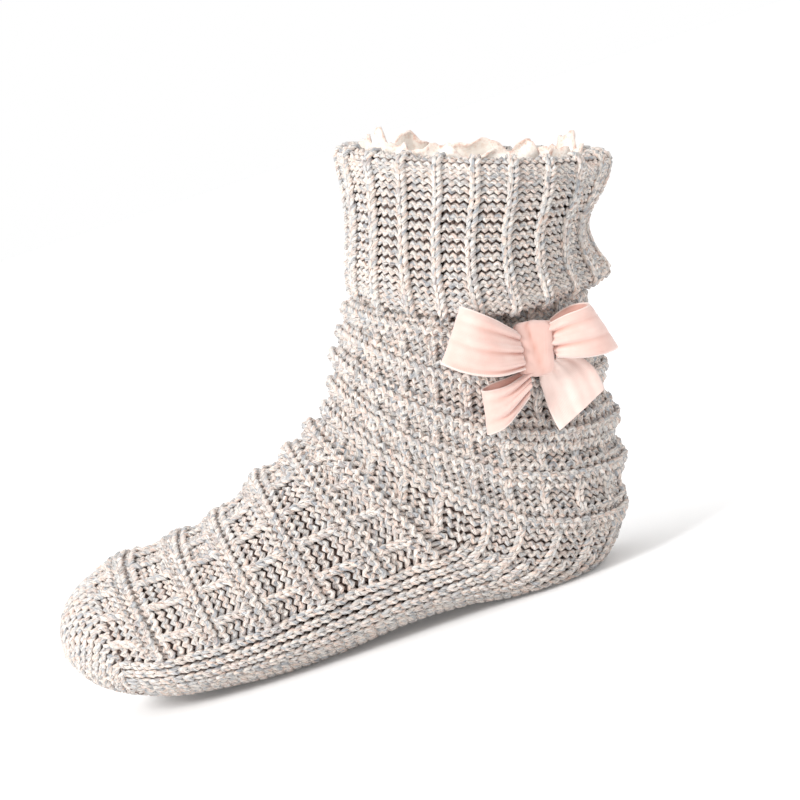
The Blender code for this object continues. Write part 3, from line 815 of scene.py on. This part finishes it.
def grid_object(name, grid, closed, cap_first=False, tone=None):
    """A smooth sheet through a grid of points, with a map along its rows and columns and a tone."""
    rows, columns = grid.shape[:2]
    faces = grid_faces(rows, columns, closed)
    if cap_first:
        faces.append(list(range(columns)))
    mesh = bpy.data.meshes.new(name)
    mesh.from_pydata(grid.reshape(-1, 3).tolist(), [], faces)
    mesh.shade_smooth()
    layer = mesh.uv_layers.new(name="Cloth")
    corners = np.zeros(len(mesh.loops), np.int32)
    mesh.loops.foreach_get("vertex_index", corners)
    share = np.stack([corners % columns / max(columns - 1, 1), corners // columns / (rows - 1)], -1)
    fill(layer.uv, "vector", share)
    if tone is not None:
        fill(mesh.attributes.new("tone", "FLOAT", "POINT").data, "value", tone)
    return bpy.data.objects.new(name, mesh)


def thicken(piece, thickness):
    """Give a sheet its thickness, half to each side."""
    wall = piece.modifiers.new("wall", "SOLIDIFY")
    wall.thickness = thickness
    wall.offset = 0.0


def make_shade_sheet():
    """Dark sheet inside the knit, painted shade that shows between the stitches."""
    places = np.concatenate([np.arange(0.0, ANKLE_ROW, 0.25), np.arange(ANKLE_ROW, COLLAR_ROW + 0.01, 0.125)])
    return grid_object("knit_shade_sheet", skin(places[:, None], round_turns(96), SHADE_SHEET_DEPTH), True, True)


def make_cuff_shade_sheet():
    """Dark sheet inside the cuff's knit, painted shade that shows between its stitches."""
    places = np.linspace(0.0, CUFF_TOP, 21)[:, None]
    grid = cuff_skin(places, round_turns(2 * CUFF_STITCHES), CUFF_SHADE_SHEET_DEPTH)
    return grid_object("cuff_shade_sheet", grid, True)


# Lining: the waves of its ragged edge, by count, share and phase, and its flaps, by turn, spread and share
LINING_RISE = 0.0058
LINING_FLAP = 0.0062
LINING_TEETH = [(11, 0.35, 0.0), (17, 0.25, 1.3)]
LINING_FLAPS = [(0.425, 0.034, 1.0), (0.93, 0.045, 0.9), (0.33, 0.022, 0.45), (0.17, 0.025, 0.40),
                (0.66, 0.030, 0.45), (0.79, 0.025, 0.35)]
LINING_INSET = 0.0055
LINING_THICKNESS = 0.0014
LINING_SIDES = 176
LINING_START = 3.0
LINING_CRUMPLE = 0.0013
LINING_RAG = 0.22


def make_lining():
    """The thin fleece boot inside the sock, with its ragged edge above the collar."""
    turns = round_turns(LINING_SIDES)
    places = np.concatenate([np.arange(LINING_START, LEG_ROW, 0.25), np.linspace(LEG_ROW, COLLAR_ROW, 26)])
    grid = skin(places[:, None], turns, LINING_INSET, 0.0)
    rim = grid[-1]
    inward = unit(rim.mean(0) - rim)
    flaps = sum(share * np.exp(-((turns - middle) / spread) ** 2) for middle, spread, share in LINING_FLAPS)
    rise = LINING_RISE * (1.0 + waves(LINING_TEETH, turns)) + LINING_FLAP * flaps
    rows = [grid]
    for share in np.linspace(0.1, 1.0, 10):
        folds = 1.0 + waves([(13, 1.0, 3.0 * share), (29, 0.7, 1.7 + 2.0 * share)], turns)
        rag = LINING_RAG * share * np.sin(TAU * 31 * turns) * np.sin(TAU * 9 * turns + 0.6)
        ring = rim + share * (rise * (1.0 + rag))[:, None] * LEG_UP
        rows.append((ring + (LINING_CRUMPLE * share * folds)[:, None] * inward)[None])
    lining = grid_object("fleece_lining", np.concatenate(rows), True, True)
    thicken(lining, LINING_THICKNESS)
    return lining


# Ribbon bow
RIBBON_WIDTH = 0.025
RIBBON_CROWN = 0.0012
RIBBON_THICKNESS = 0.0007
KNOT_WIDTH = 0.017
KNOT_HEIGHT = 0.023
KNOT_DEPTH = 0.011
KNOT_LEAN = math.radians(-14.0)
KNOT_CREASE = 0.20
KNOT_SQUARENESS = 0.66
BOW_TURN = math.radians(12.0)

# Stations of the bow: right, up, out, half width (shares of the ribbon's width) and angle of the width
BOW_PIECES = {
    "bow_loop_front": [
        (-0.26, 0.02, 0.10, 0.22, 84), (-0.62, 0.16, 0.08, 0.36, 76), (-1.02, 0.42, 0.20, 0.46, 64),
        (-1.26, 0.66, 0.36, 0.48, 54), (-1.25, 0.64, 0.54, 0.49, 53), (-1.00, 0.44, 0.66, 0.49, 60),
        (-0.66, 0.24, 0.60, 0.44, 72), (-0.26, 0.06, 0.38, 0.30, 82),
    ],
    "bow_loop_back": [
        (0.22, 0.00, 0.06, 0.22, 96), (0.60, 0.02, -0.02, 0.36, 100), (0.94, 0.02, 0.00, 0.43, 104),
        (1.15, 0.00, 0.16, 0.44, 106), (1.14, -0.02, 0.38, 0.43, 106), (0.92, -0.02, 0.52, 0.42, 104),
        (0.62, 0.00, 0.50, 0.38, 100), (0.24, 0.02, 0.26, 0.26, 96),
    ],
    "bow_tail_front": [
        (-0.24, -0.40, 0.14, 0.15, 66), (-0.58, -0.57, 0.04, 0.26, 72), (-0.92, -0.66, 0.04, 0.34, 78),
        (-1.10, -0.70, 0.16, 0.36, 80), (-1.02, -0.72, 0.32, 0.35, 76), (-0.74, -0.70, 0.36, 0.32, 70),
        (-0.26, -0.50, 0.26, 0.22, 64),
    ],
    "bow_tail_back": [
        (0.20, -0.30, 0.14, 0.22, 20), (0.31, -0.46, 0.06, 0.38, 14), (0.40, -0.69, 0.06, 0.46, 10),
        (0.42, -0.97, 0.10, 0.49, 12), (0.44, -1.21, 0.14, 0.50, 22),
    ],
}

# Gathers by the knot, count and phase, and how much deeper in tone the ribbon is where it lies in shade
GATHERS = {"bow_loop_front": (3.0, 0.4), "bow_loop_back": (2.6, 1.4), "bow_tail_front": (2.2, 2.0),
           "bow_tail_back": (2.4, 0.8)}
GATHER_DEPTH = 0.0017
GATHER_REACH = 0.14
GATHER_REACH_END = 0.16
FOLD_DEPTH = 0.0003
RIPPLE_DEPTH = 0.0007
# Painted shade on the loops' inner halves; the tails are paler
INNER_SHADE_TONE = 0.55
TAIL_TONE = -0.40
KNOT_TONE = 0.10
# Painted shade in the knot's creases
CREASE_SHADE_TONE = 0.8


def bow_axes(right, up, out):
    """A point of the bow's own axes, turned a little to follow the round of the leg."""
    along = right * math.cos(BOW_TURN) + out * math.sin(BOW_TURN)
    away = right * math.sin(BOW_TURN) - out * math.cos(BOW_TURN)
    return np.stack([along, away, up], -1)


def ribbon_grid(name):
    """A piece of ribbon about the bow's middle, gathered where the knot holds it, and its tone, with painted
    shade in the gathers and inside the loops.
    """
    stations = np.array(BOW_PIECES[name], float)
    looped = name != "bow_tail_back"
    along = np.linspace(0.0, 1.0, 73)
    right, up, out, half, angle = np.moveaxis(section_at(stations, along * (len(stations) - 1.0)), -1, 0)
    tilt = np.radians(angle)
    share = np.linspace(-1.0, 1.0, 33)[None, :]
    reach = share * (half * RIBBON_WIDTH)[:, None]
    crown = RIBBON_CROWN * (1.0 - share * share)
    count, phase = GATHERS[name]
    near_knot = np.exp(-along / GATHER_REACH)
    plain = np.full(len(along), TAIL_TONE)
    if looped:
        near_knot = near_knot + np.exp(-(1.0 - along) / GATHER_REACH_END)
        # Painted shade on the first, inner half of each loop
        plain = INNER_SHADE_TONE * (1.0 - smooth_step(along, 0.40, 0.50))
    wave = (0.7 * np.sin(np.pi * count * share + phase)
            + 0.5 * np.sin(np.pi * 1.9 * count * share + 2.0 * phase))
    folds = wave * (GATHER_DEPTH * near_knot + FOLD_DEPTH)[:, None]
    ripple = RIPPLE_DEPTH * np.sin(9.0 * along + 2.2)[:, None] * share
    # Painted shade in the valleys of the gathers near the knot
    valley = np.clip(-wave, 0.0, 1.0) * np.minimum(near_knot, 1.0)[:, None]
    return bow_axes(
        (right * RIBBON_WIDTH)[:, None] + reach * np.cos(tilt)[:, None],
        (up * RIBBON_WIDTH)[:, None] + reach * np.sin(tilt)[:, None],
        (out * RIBBON_WIDTH)[:, None] + crown + folds + ripple,
    ), plain[:, None] + valley


def knot_grid():
    """The knot: a band of ribbon with five creases round the middle of the bow, and its tone, with painted
    shade in the creases.
    """
    height = np.linspace(-1.0, 1.0, 33)[:, None]
    angle = TAU * round_turns(48)[None, :]
    wide_girth = (1.0 - np.abs(height) ** 9.0) ** 0.5
    deep_girth = (1.0 - np.abs(height) ** 2.6) ** 0.5
    crease = (1.0 - np.abs(np.sin(2.5 * angle + 0.7 * height + 1.1))) ** 3 * (0.75 + 0.45 * height)
    pleat = 1.0 - KNOT_CREASE * crease
    x = np.copysign(np.abs(np.cos(angle)) ** KNOT_SQUARENESS, np.cos(angle)) * wide_girth * pleat
    y = np.copysign(np.abs(np.sin(angle)) ** KNOT_SQUARENESS, np.sin(angle)) * deep_girth * pleat
    wide = 0.5 * KNOT_WIDTH * x * (0.88 + 0.10 * np.abs(height)) * (1.0 + 0.12 * height)
    high = 0.5 * KNOT_HEIGHT * height
    right = wide * math.cos(KNOT_LEAN) - high * math.sin(KNOT_LEAN)
    up = wide * math.sin(KNOT_LEAN) + high * math.cos(KNOT_LEAN)
    # The creases carry painted shade through the tone
    return bow_axes(right, up, 0.5 * KNOT_DEPTH * (1.0 - y)), KNOT_TONE + CREASE_SHADE_TONE * crease


class Shading:
    """A cloth material and the nodes that feed its shader."""

    def __init__(self, name, roughness, sheen=0.0):
        self.material = bpy.data.materials.new(name)
        self.material.use_nodes = True
        self.tree = self.material.node_tree
        self.shader = self.tree.nodes["Principled BSDF"]
        self.feed(self.shader, {"Roughness": roughness, "Specular IOR Level": 0.25,
                                "Sheen Weight": sheen, "Sheen Roughness": 0.6})

    def feed(self, made, inputs):
        """Give a node's inputs their values: a number, a colour or an output of another node."""
        for key, value in inputs.items():
            if isinstance(value, bpy.types.NodeSocket):
                self.tree.links.new(value, made.inputs[key])
            elif isinstance(value, tuple):
                made.inputs[key].default_value = (*value, 1.0)
            else:
                made.inputs[key].default_value = value

    def node(self, kind, inputs, **settings):
        """The outputs of a new node with given settings and inputs."""
        made = self.tree.nodes.new("ShaderNode" + kind)
        for name, value in settings.items():
            setattr(made, name, value)
        self.feed(made, inputs)
        return made.outputs

    def maths(self, operation, *values):
        """The result of a maths node."""
        return self.node("Math", dict(enumerate(values)), operation=operation)[0]

    def mixed(self, factor, first, second):
        """Two colours mixed by a factor."""
        return self.node("Mix", {0: factor, 6: first, 7: second}, data_type="RGBA")[2]

    def ramp(self, factor, *stops):
        """A colour ramp from stops of place and colour, or place and grey."""
        made = self.tree.nodes.new("ShaderNodeValToRGB")
        elements = made.color_ramp.elements
        while len(elements) < len(stops):
            elements.new(0.5)
        for element, (place, colour) in zip(elements, stops):
            element.position = place
            element.color = (*np.broadcast_to(colour, 3), 1.0)
        self.feed(made, {0: factor})
        return made.outputs[0]

    def noise(self, scale, detail, roughness, vector=None):
        """Noise in the piece's own coordinates, or in others that are given."""
        vector = vector or self.node("TexCoord", {})["Object"]
        inputs = {"Scale": scale, "Detail": detail, "Roughness": roughness, "Vector": vector}
        return self.node("TexNoise", inputs)[0]

    def mapped(self, name):
        """The two coordinates of one of the piece's maps."""
        split = self.node("SeparateXYZ", {0: self.node("UVMap", {}, uv_map=name)[0]})
        return split[0], split[1]

    def finish(self, colour, height=None, strength=1.0, distance=0.0):
        """The material, once the shader has its colour and its bump."""
        self.feed(self.shader, {"Base Color": colour})
        if height is not None:
            bump = self.node("Bump", {"Height": height, "Strength": strength, "Distance": distance})
            self.feed(self.shader, {"Normal": bump[0]})
        return self.material


# Colours, linear
CREAM = (0.74, 0.67, 0.60)
PALE_PINK = (0.66, 0.46, 0.375)
BLUE_GREY = (0.235, 0.26, 0.30)
LIGHT_GREY = (0.47, 0.47, 0.47)
WARM_WHITE = (0.90, 0.87, 0.84)
DARK_FLECK = (0.075, 0.062, 0.058)
# Painted shade of the yarn where it lies deep
DEEP_SHADE_BROWN = (0.120, 0.056, 0.034)
# Painted shade in the gaps between the stitches
GAP_SHADE_BROWN = (0.045, 0.022, 0.014)
GAP_SHADE_FIBRE = (0.11, 0.06, 0.04)
FLEECE_WHITE = (0.93, 0.87, 0.80)
FLEECE_SHADE = (0.78, 0.62, 0.52)
FLEECE_EDGE = (0.62, 0.36, 0.27)
RIBBON_PINK = (0.71, 0.46, 0.40)
RIBBON_PALE = (0.82, 0.66, 0.60)
# Painted shade of the ribbon's folds, creases and loop insides
RIBBON_FOLD_SHADE = (0.60, 0.28, 0.21)
FLOOR_WHITE = (0.93, 0.93, 0.93)
WHITE = (1.0, 1.0, 1.0)
PLY_PITCH = 0.0068


def yarn_material():
    """Marled yarn of three twisted plies with fine flecks, with painted shade in dark brown where it lies
    deep.
    """
    yarn = Shading("marled_yarn", 0.92, 0.25)
    along, around = yarn.mapped("Yarn")
    twist = yarn.maths("ADD", yarn.maths("MULTIPLY", along, 1.0 / PLY_PITCH), around)
    turned = yarn.maths("MULTIPLY", twist, TAU)

    def streaks(length, girth, detail, roughness):
        """Noise that runs with the twist of the yarn and closes round it."""
        vector = yarn.node("CombineXYZ", {
            0: yarn.maths("MULTIPLY", along, length),
            1: yarn.maths("MULTIPLY", yarn.maths("COSINE", turned), girth),
            2: yarn.maths("MULTIPLY", yarn.maths("SINE", turned), girth),
        })[0]
        return yarn.noise(1.0, detail, roughness, vector)

    plies = yarn.ramp(yarn.maths("FRACT", twist), (0.0, WARM_WHITE), (0.30, CREAM), (0.36, LIGHT_GREY),
                      (0.60, LIGHT_GREY), (0.68, PALE_PINK), (0.92, CREAM))
    patches = yarn.ramp(streaks(55.0, 0.6, 2.0, 0.5), (0.34, BLUE_GREY), (0.44, LIGHT_GREY), (0.52, CREAM),
                        (0.60, PALE_PINK), (0.68, WARM_WHITE))
    colour = yarn.mixed(0.60, plies, patches)
    flecks = streaks(340.0, 2.3, 3.0, 0.7)
    colour = yarn.mixed(yarn.ramp(flecks, (0.36, 0.9), (0.45, 0.0)), colour, DARK_FLECK)
    colour = yarn.mixed(yarn.ramp(flecks, (0.58, 0.0), (0.68, 0.7)), colour, WARM_WHITE)
    # Painted shade: the deeper the yarn lies, the more it turns dark brown
    proud = yarn.node("Attribute", {}, attribute_name="proud")["Fac"]
    depth = yarn.maths("MULTIPLY", yarn.maths("ADD", proud, 3.0), 0.2)
    colour = yarn.mixed(yarn.ramp(depth, (0.34, 1.0), (0.64, 0.77), (0.87, 0.0)), colour, DEEP_SHADE_BROWN)
    groove = yarn.maths("ABSOLUTE", yarn.maths("SINE", yarn.maths("MULTIPLY", twist, 3.0 * math.pi)))
    fibre = yarn.maths("MULTIPLY", yarn.noise(2600.0, 3.0, 0.65), 0.9)
    height = yarn.maths("ADD", yarn.maths("POWER", groove, 0.6), fibre)
    return yarn.finish(colour, height, 0.75, 0.0003)


def gap_shade_material():
    """Painted shade of the deep gaps: warm dark brown, with a little fibre noise."""
    gap = Shading("painted_gap_shade", 1.0)
    return gap.finish(gap.ramp(gap.noise(700.0, 3.0, 0.6), (0.35, GAP_SHADE_BROWN), (0.70, GAP_SHADE_FIBRE)))


def fleece_material():
    """Brushed cream fleece, pinkish brown along its torn edge."""
    fleece = Shading("brushed_fleece", 0.95, 0.5)
    nap = fleece.noise(420.0, 5.0, 0.7)
    upward = fleece.mapped("Cloth")[1]
    ragged = fleece.maths("ADD", upward, fleece.maths("MULTIPLY", nap, 0.22))
    edge = fleece.ramp(fleece.maths("MULTIPLY", ragged, 0.8), (0.868, 0.0), (0.908, 0.9))
    colour = fleece.ramp(nap, (0.30, FLEECE_SHADE), (0.52, FLEECE_WHITE))
    return fleece.finish(fleece.mixed(edge, colour, FLEECE_EDGE), nap, 0.8, 0.0008)


def ribbon_material():
    """Pale pink ribbon: fine weave, soft nap, paler selvedges and painted shade where its tone is deep."""
    ribbon = Shading("pink_woven_ribbon", 0.62, 0.6)
    across, along = ribbon.mapped("Cloth")
    tone = ribbon.node("Attribute", {}, attribute_name="tone")["Fac"]
    cloudy = ribbon.maths("MULTIPLY", ribbon.noise(120.0, 3.0, 0.5), 0.35)
    # Painted shade: a deep tone turns the ribbon towards its fold shade colour, and a low tone makes it paler
    depth = ribbon.maths("ADD", ribbon.maths("MULTIPLY", tone, 0.5), cloudy)
    colour = ribbon.ramp(ribbon.maths("ADD", depth, 0.325), (0.22, RIBBON_PALE), (0.55, RIBBON_PINK),
                         (0.95, RIBBON_FOLD_SHADE))
    from_middle = ribbon.maths("ABSOLUTE", ribbon.maths("SUBTRACT", across, 0.5))
    colour = ribbon.mixed(ribbon.ramp(from_middle, (0.465, 0.0), (0.485, 0.9)), colour, RIBBON_PALE)
    weft = ribbon.maths("SINE", ribbon.maths("MULTIPLY", along, 620.0))
    warp = ribbon.maths("SINE", ribbon.maths("MULTIPLY", across, 260.0))
    return ribbon.finish(colour, ribbon.maths("ADD", weft, warp), 0.25, 0.0001)


def box_middle(name):
    """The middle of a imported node's box."""
    low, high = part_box(name)
    return 0.5 * (np.array(low) + np.array(high))


def in_scene(item):
    """An object, once it is in the scene."""
    bpy.context.scene.collection.objects.link(item)
    return item


def place_piece(piece, slot, *replaced):
    """Put a finished piece in the scene: it rides on the one body and stands for its solids."""
    in_scene(piece)
    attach(piece, "root")
    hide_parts(*replaced)


def make_bow(material):
    """The bow's knot, loops and tails in the places of their solids."""
    grid, tone = knot_grid()
    flat = grid.reshape(-1, 3)
    seat = box_middle("bow_knot") - 0.5 * (flat.min(0) + flat.max(0))
    knot = grid_object("ribbon_bow_knot", grid + seat, True, tone=tone)
    knot.data.materials.append(material)
    place_piece(knot, "pink_ribbon", "bow_knot")
    for name in BOW_PIECES:
        grid, tone = ribbon_grid(name)
        ribbon = grid_object("ribbon_" + name, grid + seat, False, tone=tone)
        thicken(ribbon, RIBBON_THICKNESS)
        ribbon.data.materials.append(material)
        place_piece(ribbon, "pink_ribbon", name)


def frame_shift():
    """The shift from the sock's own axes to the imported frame."""
    places = np.linspace(0.0, LEG_ROW, 161)[:, None]
    points = skin(places, round_turns(BODY_SIDES), 0.0).reshape(-1, 3)
    low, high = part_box("sock_body")
    across = 0.5 * (low.y + high.y) - 0.5 * (points[:, 1].min() + points[:, 1].max())
    return Vector((low.x - points[:, 0].min(), across, 0.0))


# Camera: it looks at the outer side, a little from above, and is rolled as the photograph is
VIEW_POINT = Vector((0.1692, -0.012, 0.0931))
VIEW_DISTANCE = 1.20
VIEW_HEIGHT = math.radians(7.0)
VIEW_SIDE = math.radians(1.5)
VIEW_ROLL = math.radians(-18.5)
VIEW_WIDTH = 0.332
SENSOR = 36.0

# Lights: place, size and power
KEY_LIGHT = ((-1.0, -1.0, 0.92), 0.5, 20.5)
TOP_LIGHT = ((-0.1, 0.3, 1.6), 0.8, 4.0)
LIT_POINT = Vector((0.0, 0.0, 0.07))
FLOOR_REACH = 6.0


def make_camera(shift):
    """The camera at the photograph's angle to the sock."""
    data = bpy.data.cameras.new("camera")
    data.sensor_width = SENSOR
    data.lens = SENSOR * VIEW_DISTANCE / VIEW_WIDTH
    data.clip_start = 0.01
    camera = in_scene(bpy.data.objects.new("camera", data))
    level = math.cos(VIEW_HEIGHT)
    direction = Vector((math.sin(VIEW_SIDE) * level, -math.cos(VIEW_SIDE) * level, math.sin(VIEW_HEIGHT)))
    turn = direction.to_track_quat("Z", "Y").to_matrix().to_4x4()
    target = VIEW_POINT + shift
    roll = Matrix.Rotation(VIEW_ROLL, 4, "Z")
    camera.matrix_world = Matrix.Translation(target + VIEW_DISTANCE * direction) @ turn @ roll
    bpy.context.scene.camera = camera


def make_light(name, location, size, power):
    """A soft square light turned to the middle of the sock."""
    data = bpy.data.lights.new(name, "AREA")
    data.energy = power
    data.size = size
    light = in_scene(bpy.data.objects.new(name, data))
    light.location = location
    light.rotation_euler = (Vector(location) - LIT_POINT).to_track_quat("Z", "Y").to_euler()


def make_studio():
    """A plain pale floor, a white surround and soft lights."""
    mesh = bpy.data.meshes.new("floor")
    corners = [(x * FLOOR_REACH, y * FLOOR_REACH, 0) for x, y in ((-1, -1), (1, -1), (1, 1), (-1, 1))]
    mesh.from_pydata(corners, [], [(0, 1, 2, 3)])
    floor = in_scene(bpy.data.objects.new("floor", mesh))
    pale = Shading("pale_floor", 0.8)
    pale.feed(pale.shader, {"Emission Color": WHITE, "Emission Strength": 0.08})
    mesh.materials.append(pale.finish(FLOOR_WHITE))
    world = bpy.data.worlds.new("studio")
    world.use_nodes = True
    background = world.node_tree.nodes["Background"]
    background.inputs["Color"].default_value = (*WHITE, 1.0)
    background.inputs["Strength"].default_value = 1.0
    bpy.context.scene.world = world
    make_light("key", *KEY_LIGHT)
    make_light("top", *TOP_LIGHT)
    bpy.context.scene.view_settings.view_transform = "Standard"


def main():
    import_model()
    shift = frame_shift()
    yarn = yarn_material()
    gap = gap_shade_material()
    body = [make_toe(), make_foot("knit_forefoot", -3, 13), make_foot("knit_midfoot", 14, 30),
            make_instep(31, 35), make_heel(), make_leg("knit_leg_lower", 36, 50),
            make_leg("knit_leg_upper", 51, 66)]
    cuff = [make_cuff("knit_cuff_lower", -CUFF_HEM_COURSES, 10),
            make_cuff("knit_cuff_upper", 10, CUFF_COURSES + CUFF_FOLD_COURSES)]
    for piece in body + cuff:
        piece.data.materials.append(yarn)
    # Dark sheets inside the knit paint the shade in the gaps between the stitches
    shade_sheets = [make_shade_sheet(), make_cuff_shade_sheet()]
    for piece in shade_sheets:
        piece.data.materials.append(gap)
    lining = make_lining()
    lining.data.materials.append(fleece_material())
    for piece in body + cuff + shade_sheets + [lining]:
        piece.data.transform(Matrix.Translation(shift))
    for piece in body + shade_sheets[:1]:
        place_piece(piece, "marled_knit", "sock_body")
    for piece in cuff + shade_sheets[1:]:
        place_piece(piece, "marled_knit", "cuff")
    place_piece(lining, "cream_fleece", "lining_collar")
    make_bow(ribbon_material())
    make_studio()
    make_camera(shift)


main()
